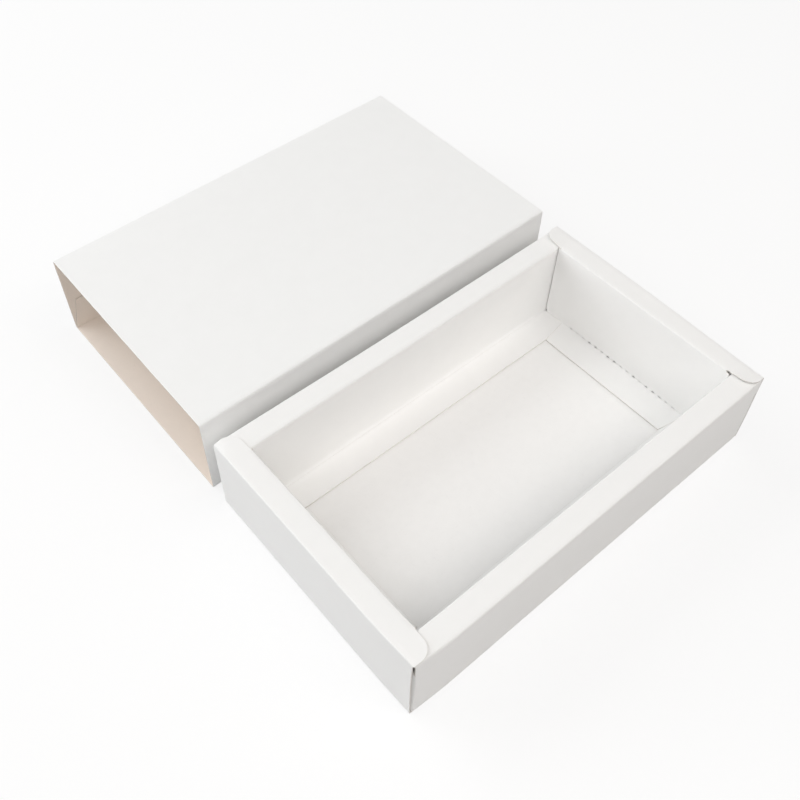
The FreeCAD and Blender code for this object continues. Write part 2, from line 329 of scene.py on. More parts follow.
@dataclass(frozen=True)
class Reverse:
    """The uncoated inside of the board, matt and a little fibrous."""

    name: str
    colour: Colour
    roughness: float = 0.78
    gloss_range: float = 0.1
    specular: float = 0.3
    mottle: float = 0.01
    streak: float = 0.02
    fleck: float = 0.08
    fleck_shade: float = 0.72
    # How far the painted shade near the folds darkens the reverse.
    painted_fold_shade: float = 0.9
    felt: Grain = Grain(260, 4)
    fibre: Grain = Grain(120, 3, (7, 0.7, 1))
    speck: Grain = Grain(900, 1)
    bump: tuple[float, float] = (0.16, 0.0003)

    def build(self) -> bpy.types.Material:
        """Makes the material.

        Returns:
            Felted clouds, fine fibres across the sheet, a few darker flecks, and painted shade that
            darkens the face near its folds.
        """
        material, tree, place = new_material(self.name)
        sheet = tree.add("UVMap", {"uv_map": "Sheet"}, {}, 0)
        felt = tree.noise(place, self.felt)
        fibres = tree.noise(sheet, self.fibre)
        flecks = tree.noise(place, self.speck).above(0.69, 0.03)

        base = linear(self.colour)
        dark, light = shaded(base, 1 - self.mottle), shaded(base, 1 + self.mottle)
        tone = tree.mix(felt.above(0.5, 0.3), dark, light)
        tone = tree.mix(fibres.above(0.5, 0.25) * 0.4, tone, shaded(base, 1 - self.streak))
        tone = tree.mix(flecks * self.fleck, tone, shaded(base, self.fleck_shade))
        # Painted shade: the reverse is darkened towards its folds, where the crease attribute is
        # high.
        tone = tree.mix(tree.attribute("crease") * 0.25, tone, shaded(base, self.painted_fold_shade))
        gloss = (felt - 0.5) * self.gloss_range + self.roughness
        tree.board(tone, gloss, self.specular, felt * 0.6 + fibres * 0.6, self.bump)
        return material


@dataclass(frozen=True)
class Core:
    """A cut edge: the plies of the board between two thin coated lines."""

    name: str
    colour: Colour
    roughness: float = 0.85
    gloss_range: float = 0.12
    specular: float = 0.25
    skin_shade: float = 1.04
    ply_shade: float = 0.9
    torn_shade: float = 0.86
    tear: Grain = Grain(1100, 3)
    bump: tuple[float, float] = (0.3, 0.0003)

    def build(self) -> bpy.types.Material:
        """Makes the material.

        Returns:
            A tone that follows the depth through the board, darkest in the middle plies,
            with torn fibres along it.
        """
        material, tree, place = new_material(self.name)
        torn = tree.noise(place, self.tear)
        plies = 1 - (tree.attribute("depth") * 2 - 1) ** 2
        base = linear(self.colour)
        tone = tree.mix(plies * 0.8, shaded(base, self.skin_shade), shaded(base, self.ply_shade))
        tone = tree.mix(torn.above(0.5, 0.2) * 0.5, tone, shaded(base, self.torn_shade))
        gloss = (torn - 0.5) * self.gloss_range + self.roughness
        tree.board(tone, gloss, self.specular, torn, self.bump)
        return material


@dataclass(frozen=True)
class Stock:
    """One board: its two faces, its cut edge and the record's slot."""

    slot: str
    outer: Coated
    inner: Reverse
    core: Core

    def build(self) -> list[bpy.types.Material]:
        """The three materials, in the order outer, inner, cut edge."""
        return [self.outer.build(), self.inner.build(), self.core.build()]


# ---------------------------------------------------------------- the sheet

# A cut edge: its rounding, the rounding's middle point, and the stations beside it.
CUT_ROUND = 0.08
ROUND_OUT, ROUND_DEEP = 0.76, 0.35
NEAR_CUT = [0.0, CUT_ROUND * 0.3, CUT_ROUND, 0.4, 1.2]
# A fold: the points of its arc, its first station, and the stations beside it.
FOLD_ANGLES = np.radians([11.25, 22.5, 33.75, 45.0])
FOLD_TIP = BOARD * (1 - math.sqrt(0.5)) + 0.01
NEAR_FOLD = (0.0, 0.1, 0.22, 0.36, 0.52, 0.7, 0.9, 1.15, 1.5, 2.0, 2.8)
# Two stretches lie this far apart, and a short stretch has more stations for its curves.
STEP = 0.02
SHORT_RUN, CURVE_STATIONS = 7.5, 9
DECIMALS = 5
# How far from a fold the board is soft, its coating cracks, and the groove beside it runs.
SOFT_REACH = 1.3
CREASE_REACH = 0.9
GROOVE, GROOVE_PLACE, GROOVE_WIDTH = 0.03, 0.75, 0.3
# Where a small hole lies in its stretch, and the least that its mouth closes.
HOLE_PLACE, HOLE_LEAST = 0.35, 0.02
# The board's unevenness: how many waves, and what divides their height.
WAVES, WAVE_SUM = 5, 2.2
# Millimetres to the units of the pattern on the sheet, and what counts as a sharp edge.
SHEET_SCALE = 0.01
SHARP_ANGLE = math.radians(32)


@dataclass(frozen=True)
class Nudge:
    """A soft push on everything near one point, as a finger or a knock leaves it."""

    centre: Vec
    reach: Vec
    push: Vec

    def moved(self, points: np.ndarray) -> np.ndarray:
        """Moves points.

        Each goes along push by exp(-r^2), where r is its distance from the centre with each
        direction measured in its own reach.

        Args:
            points: Rows of x, y, z.
        Returns:
            The moved points.
        """
        r = (points - np.array(self.centre)) / np.array(self.reach)
        return points + np.exp(-(r**2).sum(axis=1))[:, None] * np.array(self.push)


@dataclass(frozen=True)
class Run:
    """A stretch of a panel, along its creases, over which its two sides keep their kinds."""

    start: float
    stop: float
    low: Side
    high: Side
    low_edge: Edge
    high_edge: Edge


def level(value: float) -> Side:
    """A side that runs straight along the panel."""
    return lambda along: np.full_like(along, value)


def slope(start: float, first: float, stop: float, second: float) -> Side:
    """A side that goes in a straight line from one place to another."""
    return lambda along: first + (second - first) * (along - start) / (stop - start)


def corner(centre: float, radius: float, side: float, sign: float) -> Side:
    """A side with a rounded corner: side + sign (sqrt(radius^2 - (along - centre)^2) - radius)."""

    def place(along: np.ndarray) -> np.ndarray:
        """The side's place at each station."""
        reach = np.clip(np.abs(along - centre), 0, radius)
        return side + sign * (np.sqrt(radius**2 - reach**2) - radius)

    return place


def hole(start: float, wide: float, side: float, sign: float) -> Side:
    """A small round hole in a side, whose middle lies a little before its stretch's middle.

    Args:
        start: Where its stretch starts.
        wide: How wide the hole is.
        side: The side's place across the panel.
        sign: 1 for a hole in the high side, -1 for one in the low side.
    Returns:
        side - sign deep sqrt(1 - ((along - centre) / deep)^2), where deep is half the width.
    """
    centre, deep = start + wide * HOLE_PLACE, wide / 2
    return lambda along: side - sign * deep * np.sqrt(
        np.clip(1 - ((along - centre) / deep) ** 2, HOLE_LEAST, 1)
    )


def mirrored(runs: list[Run], length: float) -> list[Run]:
    """The same runs at the other end of a panel of that length."""

    def back(side: Side) -> Side:
        """A side read from the panel's other end."""
        return lambda along: side(length - along)

    return [
        Run(length - run.stop, length - run.start, back(run.low), back(run.high),
            run.low_edge, run.high_edge)
        for run in reversed(runs)
    ]


def offsets(edge: Edge) -> list[float]:
    """Where stations lie by the end of a panel, for a cut end or a folded one."""
    if edge is CUT:
        return NEAR_CUT
    arc = [BOARD * (1 - math.sin(a)) for a in FOLD_ANGLES[:3]]
    return [FOLD_TIP, *sorted(arc), *(BOARD + d for d in NEAR_FOLD)]


def spread(length: float, first: Edge, last: Edge, pitch: float) -> np.ndarray:
    """Stations from one end of a panel to the other, close at the ends and even between.

    Args:
        length: The panel's length.
        first: The kind of its first end.
        last: The kind of its last end.
        pitch: About how far apart the even stations are.
    Returns:
        The stations in order.
    """
    low, high = offsets(first), [length - d for d in offsets(last)]
    count = max(2, round((high[-1] - low[-1]) / pitch))
    even = np.linspace(low[-1], high[-1], count + 1)
    return np.unique(np.round(np.concatenate([low, even, high]), DECIMALS))


@dataclass
class Panel:
    """One panel of board between its creases or cut edges, as a closed sheet.

    It lies from origin along across (u), through (v, from the outer face to the inner face)
    and along (w, the direction of its creases).
    """

    name: str
    origin: Vec
    across: Vec
    through: Vec
    along: Vec
    span: float
    length: float
    low: Edge = FOLD
    high: Edge = FOLD
    first: Edge = CUT
    last: Edge = CUT
    runs: list[Run] = field(default_factory=list)
    bow: Shape | None = None
    nudges: tuple[Nudge, ...] = ()
    foot: Side | None = None
    bead: float = 0.1
    soft: float = 0.2
    flipped: bool = False
    pitch: float = 4.0

    def stations(self) -> dict[str, np.ndarray]:
        """Goes along the panel, run by run.

        Returns:
            For every station: along, low, high, the kinds of both sides, and step, which is
            true where the next station belongs to another run.
        """
        whole = Run(0.0, self.length, level(0.0), level(self.span), self.low, self.high)
        runs = self.runs or [whole]
        even = spread(self.length, self.first, self.last, self.pitch)
        rows: dict[str, list[np.ndarray]]
        rows = {key: [] for key in ("along", "low", "high", "kinds", "step")}
        for index, run in enumerate(runs):
            start = max(run.start + (STEP / 2 if index else 0.0), even[0])
            stop = min(run.stop - (STEP / 2 if index < len(runs) - 1 else 0.0), even[-1])
            inside = even[(even > start + STEP) & (even < stop - STEP)]
            count = CURVE_STATIONS if stop - start < SHORT_RUN else 2
            curved = np.linspace(start, stop, count)
            along = np.unique(np.round(np.concatenate([curved, inside]), DECIMALS))
            rows["along"].append(along)
            rows["low"].append(run.low(along))
            rows["high"].append(run.high(along))
            kinds = (run.low_edge.value, run.high_edge.value)
            rows["kinds"].append(np.tile(kinds, (len(along), 1)))
            step = np.zeros(len(along), bool)
            step[-1] = True
            rows["step"].append(step)
        return {key: np.concatenate(value) for key, value in rows.items()}

    def faces_of(self, along: np.ndarray) -> tuple[np.ndarray, np.ndarray]:
        """How deep the outer and the inner face lie at each station.

        By a folded end the outer face follows t - sqrt(t^2 - (t - d)^2) and the inner one d,
        the mitre. By a cut end both draw in by r - sqrt(r^2 - (r - d)^2).

        Args:
            along: The stations.
        Returns:
            The depths of the outer and the inner face.
        """
        outer, inner = np.zeros_like(along), np.full_like(along, BOARD)
        for edge, d in ((self.first, along), (self.last, self.length - along)):
            if edge is CUT:
                draw = CUT_ROUND - np.sqrt(CUT_ROUND**2 - np.clip(CUT_ROUND - d, 0, None) ** 2)
                outer, inner = outer + draw, inner - draw
            else:
                arc = BOARD - np.sqrt(BOARD**2 - np.clip(BOARD - d, 0, BOARD) ** 2)
                outer, inner = np.maximum(outer, arc), np.minimum(inner, np.clip(d, 0, BOARD))
        return outer, inner

    def columns(self, width: np.ndarray) -> np.ndarray:
        """Where the columns lie across the panel: close by both sides and even between.

        Args:
            width: The row's width at each station.
        Returns:
            Distances from the row's low end, one line for each station.
        """
        near = np.array(NEAR_FOLD)
        scale = np.clip(width / (2 * near[-1] + 1.0), None, 1.0)[:, None]
        count = max(2, round((self.span - 2 * near[-1]) / self.pitch))
        share = np.linspace(0, 1, count + 1)[1:-1]
        low = near * scale
        high = width[:, None] - near[::-1] * scale
        middle = low[:, -1:] + share * (high[:, :1] - low[:, -1:])
        return np.concatenate([low, middle, high], axis=1)

    def softened(
        self, u: np.ndarray, v: np.ndarray, w: np.ndarray, s: dict[str, np.ndarray],
        depth: np.ndarray,
    ) -> tuple[np.ndarray, np.ndarray, np.ndarray]:
        """Rounds the board off towards its folds.

        By a fold everything moves by soft exp(-(d / reach)^2), with d the distance from its tip,
        both away from the tip and from the fold's round side, so both sheets of a fold move alike.
        A fold with a foot radius R bends round an arc as well: a point whose depth from the back
        is e goes to R - (R - e) sin a from the tip and R - (R - e) cos a off the back, where a
        falls evenly from 45 degrees at the mitre to 0 at the distance R.

        Args:
            u: Places across the sheet.
            v: Places through it.
            w: Places along it.
            s: The stations.
            depth: Depth through the board from 0 to 1.
        Returns:
            The moved places.
        """
        inward = np.choose(s["kinds"], (0.0, 1.0, -1.0))
        tips = (
            (u - s["low"][:, None], inward[:, :1], 1.0, True),
            (s["high"][:, None] - u, inward[:, 1:], -1.0, True),
            (w, float(self.first is FOLD), 1.0, False),
            (self.length - w, float(self.last is FOLD), -1.0, False),
        )
        for d, inwards, sign, is_across in tips:
            push = self.soft * np.exp(-((d / SOFT_REACH) ** 2))
            v = v + push * inwards
            if is_across:
                u = u + sign * push * np.abs(inwards)
            else:
                w = w + sign * push * np.abs(inwards)
        if self.foot is not None:
            radius, d = self.foot(w), u - s["low"][:, None]
            deep = BOARD * np.where(inward[:, :1] > 0, depth, 1 - depth)
            bend = radius - deep
            angle = np.clip(1 - (d - deep) / bend, 0, 1) * np.pi / 4
            v = v + bend * (1 - np.cos(angle)) * inward[:, :1]
            u = u + np.where(d < radius, radius - bend * np.sin(angle) - d, 0)
        return u, v, w

    def mesh(self, stock: list[bpy.types.Material]) -> bpy.types.Object:
        """Builds the closed sheet.

        The profile across the panel, outer face, high side, inner face and low side, is a
        loop, and the loops of all stations join into a tube with a cap at both ends.

        Args:
            stock: The materials of the coated face, the reverse and the cut edge.
        Returns:
            The object.
        """
        s = self.stations()
        along, kinds = s["along"], s["kinds"]
        outer, inner = self.faces_of(along)
        thick = inner - outer
        cut = np.minimum(CUT_ROUND, 0.3 * thick)
        is_cut = kinds == CUT.value
        inset = np.where(is_cut, cut[:, None], BOARD)
        a, b = s["low"] + inset[:, 0], s["high"] - inset[:, 1]
        rows = a[:, None] + self.columns(b - a)

        def side(which: int, base: np.ndarray, sign: float) -> tuple[np.ndarray, np.ndarray]:
            """The four points round one side, from the outer face to the inner face."""
            sin, cos = np.sin(FOLD_ANGLES), np.cos(FOLD_ANGLES)
            r, t = cut[:, None], thick[:, None]
            out = r * np.array([ROUND_OUT, 1.0, 1.0, ROUND_OUT])
            deep = np.concatenate([r * ROUND_DEEP, r, t - r, t - r * ROUND_DEEP], axis=1)
            fold = np.tile(BOARD * sin, (len(along), 1))
            kind = np.repeat(kinds[:, which][:, None], len(sin), axis=1)
            reach = np.choose(kind, (out, fold, fold[:, ::-1]))
            depths = np.choose(kind, (deep, t * (1 - cos), t * cos[::-1]))
            return base[:, None] + sign * reach, depths

        high_u, high_v = side(1, b, 1.0)
        low_u, low_v = side(0, a, -1.0)
        count = rows.shape[1]
        u = np.concatenate([rows, high_u, rows[:, ::-1], low_u[:, ::-1]], axis=1)
        flat = np.zeros_like(rows)
        v = np.concatenate([flat, high_v, flat + thick[:, None], low_v[:, ::-1]], axis=1)
        w = np.tile(along[:, None], (1, u.shape[1]))
        depth = v / thick[:, None]
        v = v + outer[:, None]

        fold_low = np.where(is_cut[:, :1], np.inf, np.abs(u - a[:, None]))
        fold_high = np.where(is_cut[:, 1:], np.inf, np.abs(u - b[:, None]))
        nearest = np.minimum(fold_low, fold_high)
        for edge, d in ((self.first, w), (self.last, self.length - w)):
            if edge is FOLD:
                nearest = np.minimum(nearest, np.abs(d - BOARD))
        crease = np.exp(-((nearest / CREASE_REACH) ** 2))
        line = np.exp(-(((nearest - GROOVE_PLACE) / GROOVE_WIDTH) ** 2))
        back = slice(count + 4, 2 * count + 4)
        v[:, :count] += GROOVE * line[:, :count]
        v[:, back] += self.bead * line[:, back]
        if self.bow is not None:
            v = v + self.bow(u, w)
        u, v, w = self.softened(u, v, w, s, depth)

        axes = np.array((self.across, self.through, self.along), float)
        points = np.array(self.origin) + np.stack([u, v, w], axis=-1).reshape(-1, 3) @ axes
        for nudge in self.nudges:
            points = nudge.moved(points)
        return self.write(points * MM, u, w, crease, depth, s, count, stock)

    def write(
        self, points: np.ndarray, u: np.ndarray, w: np.ndarray, crease: np.ndarray,
        depth: np.ndarray, s: dict[str, np.ndarray], count: int, stock: list[bpy.types.Material],
    ) -> bpy.types.Object:
        """Puts the worked-out grid into a mesh object.

        Args:
            points: Places in metres, one line for each point.
            u: Places across the sheet, stations by loop points.
            w: Places along the sheet, in the same order.
            crease: Closeness to a fold, in the same order.
            depth: Depth through the board from 0 to 1, in the same order.
            s: The stations.
            count: Columns of one face.
            stock: The materials.
        Returns:
            The object, closed, with its faces outwards.
        """
        rings, loop = u.shape
        ids = np.arange(rings * loop).reshape(rings, loop)
        after = np.roll(ids, -1, axis=1)
        quads = np.stack([ids[:-1], after[:-1], after[1:], ids[1:]], axis=-1).reshape(-1, 4)
        face, back, core = (1, 0, 2) if self.flipped else (0, 1, 2)
        place = np.zeros((rings - 1, loop), int) + core
        place[:, : count - 1] = face
        place[:, count + 4 : 2 * count + 3] = back
        for which, start in ((1, count - 1), (0, 2 * count + 3)):
            kind = s["kinds"][:-1, which]
            part = place[:, start : start + 5]
            fold, counter = [face] * 4 + [core], [core] + [back] * 4
            part[kind == FOLD.value] = fold if which else fold[::-1]
            part[kind == COUNTERFOLD.value] = counter if which else counter[::-1]
        step = s["step"][:-1]
        place[step] = core
        place[step, : count - 1] = face
        place[step, count + 4 : 2 * count + 3] = back

        k = np.arange(count - 1)
        mirror = 2 * count + 3 - k
        strips = np.stack([k, mirror, mirror - 1, k + 1], axis=-1)
        tips = [list(range(count - 1, count + 5)), list(range(2 * count + 3, loop)) + [0]]
        last = ids[-1, 0]
        caps = strips.tolist() + [tip[::-1] for tip in tips]
        caps += (strips[:, ::-1] + last).tolist() + [[i + last for i in tip] for tip in tips]

        mesh = bpy.data.meshes.new(self.name)
        mesh.from_pydata(points.tolist(), [], quads.tolist() + caps)
        materials = np.append(place.ravel(), [core] * len(caps))
        mesh.polygons.foreach_set("material_index", materials)
        for label, values in (("crease", crease), ("depth", depth)):
            attribute = mesh.attributes.new(label, "FLOAT", "POINT")
            attribute.data.foreach_set("value", values.ravel().astype(np.float32))
        corners = np.zeros(len(mesh.loops), np.int32)
        mesh.loops.foreach_get("vertex_index", corners)
        sheet = np.stack([u.ravel(), w.ravel()], axis=-1)[corners] * SHEET_SCALE
        layer = mesh.uv_layers.new(name="Sheet")
        layer.data.foreach_set("uv", sheet.ravel().astype(np.float32))

        a, b, c = (points[quads[:, i]] for i in range(3))
        d = points[quads[:, 3]]
        volume = (np.cross(a, b) * c).sum() + (np.cross(a, c) * d).sum()
        if volume < 0:
            mesh.flip_normals()
        for material in stock:
            mesh.materials.append(material)
        mesh.polygons.foreach_set("use_smooth", np.ones(len(mesh.polygons), bool))
        mesh.set_sharp_from_angle(angle=SHARP_ANGLE)
        mesh.update()
        mesh.validate()
        item = bpy.data.objects.new(self.name + "_board", mesh)
        bpy.context.scene.collection.objects.link(item)
        return item


def half_turned(vector: Vec) -> Vec:
    """A direction after a half turn about the upright axis."""
    return (-vector[0], -vector[1], vector[2])


def bump(share: np.ndarray) -> np.ndarray:
    """0 at both ends and 1 in the middle: 4 s (1 - s)."""
    s = np.clip(share, 0, 1)
    return 4 * s * (1 - s)


class Waviness:
    """The slight unevenness of a sheet that lay in a stack: a few long waves."""

    def __init__(self, seed: int, height: float) -> None:
        """Draws the waves.

        Args:
            seed: Makes the draw the same each time.
            height: Millimetres that the waves reach together, about.
        """
        draw = np.random.default_rng(SEED + seed)
        ranges = ((18, 60), (25, 90), (0, 6.28))
        self.waves = np.stack([draw.uniform(*between, WAVES) for between in ranges])
        self.height = height / WAVE_SUM

    def at(self, u: np.ndarray, w: np.ndarray) -> np.ndarray:
        """The sum of height sin(2 pi u / p + 2 pi w / q + phase) over the waves."""
        p, q, phase = (x[:, None, None] for x in self.waves)
        return self.height * np.sin(TURN * u / p + TURN * w / q + phase).sum(axis=0)


# ---------------------------------------------------------------- the sleeve


@dataclass
class Sleeve:
    """The flat tube: base, near wall, top, far wall and the flap glued inside the far wall."""

    length: float = 200.0
    width: float = 123.0
    height: float = 47.0
    near: float = 4.0
    # The glue flap: its height, how long its ends taper, and how low the tips lie.
    flap: float = 18.6
    taper: float = 4.0
    tip: float = 0.25
    # Where the far wall's cut edge lies, and how far three of the panels sink in.
    lap: float = 0.3
    top_sag: float = 0.35
    near_sag: float = 0.3
    far_sag: float = 0.35

    def bowed(self, amount: float, span: float, seed: int, shift: float = 0.0) -> Shape:
        """A panel that sinks in a little between its folds, least at the open mouths.

        Args:
            amount: How far in its middle.
            span: From fold to fold.
            seed: Of its waves.
            shift: Where the panel's own edge lies on that span.
        Returns:
            amount sin(pi u / span) (0.2 + 0.8 bump(w)), plus waves.
        """
        waves = Waviness(seed, 0.05)

        def depth(u: np.ndarray, w: np.ndarray) -> np.ndarray:
            """The depth at each point."""
            u = u + shift
            rise = np.sin(np.pi * np.clip(u / span, 0, 1))
            return (amount * (0.2 + 0.8 * bump(w / self.length)) + waves.at(u, w)) * rise

        return depth

    def panels(self) -> list[Panel]:
        """The five panels."""
        t, x, far = BOARD, -self.length / 2, self.near + self.width
        flap, taper, length = self.flap, self.taper, self.length
        tip = slope(0.0, t + self.tip, taper, flap)
        ends = [Run(0.0, taper, level(0.0), tip, FOLD, CUT)]
        middle = Run(taper, length - taper, level(0.0), level(flap), FOLD, CUT)
        return [
            Panel("sleeve_base_panel", (x, self.near, 0), Y, Z, X, self.width - t, length),
            Panel("sleeve_near_wall", (x, self.near, self.height), MINUS_Z, Y, X, self.height,
                  length, bow=self.bowed(self.near_sag, self.height, 1)),
            Panel("sleeve_top_panel", (x, far, self.height), MINUS_Y, MINUS_Z, X, self.width,
                  length, bow=self.bowed(self.top_sag, self.width, 2)),
            Panel("sleeve_far_wall", (x, far, self.lap), Z, MINUS_Y, X, self.height - self.lap,
                  length, low=CUT, bow=self.bowed(self.far_sag, self.height, 3, self.lap)),
            Panel("sleeve_glue_flap", (x, far - t, 0), Z, MINUS_Y, X, flap, length, high=CUT,
                  runs=[*ends, middle, *mirrored(ends, length)],
                  bow=self.bowed(self.far_sag, self.height, 3)),
        ]


# ---------------------------------------------------------------- the tray


@dataclass
class Tray:
    """The drawer: a blank whose four sides roll over into hollow walls 11 mm thick."""

    length: float = 200.0
    width: float = 121.0
    height: float = 45.0
    centre: float = -66.5
    # How thick the hollow walls are, and where the long and the short sides' skins start.
    rim: float = 11.0
    layer: float = 0.7
    setback: float = 0.2
    # The ears: their edge and its slant, the tip's radius and how soon they bend up.
    ear_setback: float = 0.6
    ear_taper: float = 0.4
    ear_radius: float = 6.5
    ear_bend: float = 2.2
    # What the inner walls leave free: the short ones by the long ones, the long ones at the ends.
    wall_gap: float = 0.25
    end_gap: float = 1.8
    # The floor flaps: their depths, mitre, the gap between them, and how the long ones lie.
    long_flap: float = 13.5
    short_flap: float = 14.5
    flap_taper: float = 2.5
    flap_gap: float = 0.55
    flap_skew: float = 0.6
    flap_snug: float = 0.4
    flap_under: float = 0.7
    # The corner tabs: their depth, rounding, free shoulder with its slant, and clearance.
    tab: float = 30.0
    tab_radius: float = 6.0
    tab_relief: float = 8.0
    tab_lean: float = 4.0
    tab_clear: float = 0.1
    # The soft foot of the long inner walls: its radius, and how it sharpens by the corners.
    foot_radius: float = 4.5
    foot_sharp: float = 3.0
    foot_fade: float = 16.0
    # The slits at the foot of the short inner walls.
    slit: float = 1.3
    slit_pitch: float = 4.0
    slits: int = 17
    # Dents in the whole tray, feet and flaps that spring, and what single panels have.
    knocks: tuple[Nudge, ...] = (
        Nudge((-100.0, -127.0, 45.0), (12.0, 13.0, 60.0), (0.7, 1.25, 0.0)),
        Nudge((100.0, -127.0, 45.0), (8.0, 45.0, 22.0), (-1.2, 0.3, -0.3)),
        Nudge((-100.0, -6.0, 45.0), (60.0, 16.0, 60.0), (0.0, 1.0, 0.0)),
        Nudge((-100.0, -6.0, 45.0), (3.5, 3.5, 3.5), (0.1, 0.0, -0.6)),
        Nudge((-100.0, -71.0, 34.0), (6.0, 8.0, 6.0), (0.3, 0.0, 0.0)),
    )
    springs: tuple[Nudge, ...] = (
        Nudge((89.5, -66.5, 0.6), (5.0, 52.0, 5.0), (0.6, 0.0, 0.35)),
        Nudge((-89.5, -66.5, 0.6), (5.0, 75.0, 5.0), (-0.3, 0.0, 0.2)),
        Nudge((0.0, -17.0, 0.6), (90.0, 5.0, 5.0), (0.0, 0.3, 0.5)),
        Nudge((0.0, -116.0, 0.6), (140.0, 5.0, 5.0), (0.0, -0.3, 0.5)),
        Nudge((89.0, -17.0, 1.2), (8.0, 8.0, 6.0), (-0.9, -0.5, 0.0)),
    )
    tucks: tuple[Nudge, ...] = (
        Nudge((-100.0, -127.0, 22.0), (9.0, 7.0, 20.0), (0.8, 0.1, 0.0)),
        Nudge((100.0, -127.0, 46.0), (9.0, 7.0, 26.0), (-0.2, 0.1, 0.0)),
    )
    short_edge: tuple[Nudge, ...] = (
        Nudge((-100.0, -127.0, 30.0), (5.0, 6.0, 26.0), (0.0, 0.75, 0.0)),
    )

    def seat(self, point: Vec, turned: bool) -> Vec:
        """A place given from the tray's middle, in the frame, after a half turn if asked."""
        x, y, z = half_turned(point) if turned else point
        return (x, y + self.centre, z)

    def panel(
        self, name: str, point: Vec, axes: tuple[Vec, Vec, Vec], turned: bool, **facts: Any
    ) -> Panel:
        """A panel of the side that lies at the tray's low Y or low X, or its twin opposite.

        Args:
            name: The panel's name.
            point: Its origin from the tray's middle.
            axes: Across, through and along.
            turned: Whether it is the twin, half a turn round.
            facts: What else the panel has.
        Returns:
            The panel.
        """
        if turned:
            axes = tuple(half_turned(axis) for axis in axes)
        own: tuple[Nudge, ...] = ()
        if "inner" in name or "flap" in name:
            own = self.springs
        elif name.startswith("near"):
            own = self.tucks
        elif name == "left_end_outer_wall":
            own = self.short_edge
        return Panel(name, self.seat(point, turned), *axes, nudges=own + self.knocks, **facts)

    def bowed(self, amount: float, span: float, length: float, seed: int) -> Shape:
        """A panel that sinks in by amount bump(u / span) sqrt(bump(w / length)), plus waves."""
        waves = Waviness(seed, 0.04)
        return lambda u, w: (
            (amount + waves.at(u, w)) * bump(u / span) * np.sqrt(bump(w / length))
        )

    def lifted(self, amount: float, share: Shape, power: float, waves: Waviness) -> Shape:
        """A flap whose free edge stands up a little: (amount + waves) share^power."""
        return lambda u, w: np.clip(share(u, w), 0, 1) ** power * (amount + waves.at(u, w))

    def rounded(self, start: float) -> Side:
        """The radius of the soft fold at a long wall's foot, which fades near the tray's ends.

        Args:
            start: How far from the tray's end the panel starts.
        Returns:
            The radius at each place along the panel.
        """
        sharp = 1.03 * BOARD

        def radius(w: np.ndarray) -> np.ndarray:
            """From a sharp fold to foot_radius, by a smooth step away from the short walls."""
            clear = np.minimum(w + start, self.length - w - start) - self.rim - self.foot_sharp
            share = np.clip(clear / self.foot_fade, 0, 1)
            return sharp + (self.foot_radius - sharp) * share**2 * (3 - 2 * share)

        return radius

    def long_side(self, side: str, seed: int) -> list[Panel]:
        """The outer wall, rim, inner wall, floor flap and two corner tabs of one long side.

        Args:
            side: near or far.
            seed: Of its unevenness.
        Returns:
            The panels.
        """
        t, turned = BOARD, side == "far"
        x, y, top = -self.length / 2, -self.width / 2, self.height - BOARD
        wall, inner = self.length - 2 * self.layer, self.length - 2 * self.end_gap
        fold = (self.layer * 2, top - 2 * self.layer)
        free = fold[1] - self.tab_relief
        cut_in = level(self.tab_clear), level(wall - self.tab_clear)
        outer_runs = [
            Run(0.0, fold[0], *cut_in, CUT, CUT),
            Run(fold[0], free, level(0.0), level(wall), FOLD, FOLD),
            Run(free, top, *cut_in, CUT, CUT),
        ]
        start, reach = self.rim - self.flap_under, self.long_flap + t
        flap, run = self.length - 2 * start, self.short_flap + self.flap_under
        drop = self.flap_taper * run / self.short_flap
        first, last = (self.flap_skew, 0.0) if turned else (0.0, self.flap_snug)

        def flap_side(w: np.ndarray) -> np.ndarray:
            """The flap's free edge: a line a little out of square, with a mitre at both ends."""
            mitre = np.clip(1 - np.minimum(w, flap - w) / run, 0, 1)
            return reach + first * (1 - w / flap) + last * w / flap - drop * mitre

        stops = (0.0, run, flap - run, flap)
        flap_runs = [Run(a, b, level(0.0), flap_side, FOLD, CUT) for a, b in zip(stops, stops[1:])]
        lift = self.lifted(0.25, lambda u, w: u / reach, 1.5, Waviness(seed + 3, 0.05))
        return [
            self.panel(f"{side}_outer_wall", (x + self.layer, y, 0), (X, Y, Z), turned,
                       span=wall, length=top, first=FOLD, last=FOLD, runs=outer_runs,
                       bow=self.bowed(0.25, wall, top, seed)),
            self.panel(f"{side}_rim", (x + self.layer, y + self.rim, top),
                       (MINUS_Y, MINUS_Z, X), turned, span=self.rim, length=wall,
                       bow=self.bowed(0.12, self.rim, wall, seed + 1)),
            self.panel(f"{side}_inner_wall", (x + self.end_gap, y + self.rim, t),
                       (Z, MINUS_Y, X), turned, span=top - t, length=inner, low=COUNTERFOLD,
                       bow=self.bowed(0.35, top - t, inner, seed + 2),
                       foot=self.rounded(self.end_gap)),
            self.panel(f"{side}_floor_flap", (x + start, y + self.rim - t, t), (Y, Z, X), turned,
                       span=reach, length=flap, high=CUT, runs=flap_runs, bow=lift,
                       foot=self.rounded(start), flipped=True, bead=0.0),
            *self.corner_tabs(side, fold, free - fold[0]),
        ]

    def corner_tabs(self, side: str, fold: tuple[float, float], root: float) -> list[Panel]:
        """The two tabs that fold in at the ends of a long side's outer wall.

        Args:
            side: near or far.
            fold: From where to where their folds run up the wall.
            root: How high up the tab its shoulder starts.
        Returns:
            The panels.
        """
        turned, x, y = side == "far", self.layer - self.length / 2, -self.width / 2
        r, wide, lean, height = self.tab_radius, self.tab, self.tab_lean, fold[1] - fold[0]
        curve = height - r

        def tip(edge: float, sign: float) -> Side:
            """The free side's upper end, straight and then rounded."""
            side_at = corner(curve, r, edge, sign)
            return lambda w: side_at(np.maximum(w, curve))

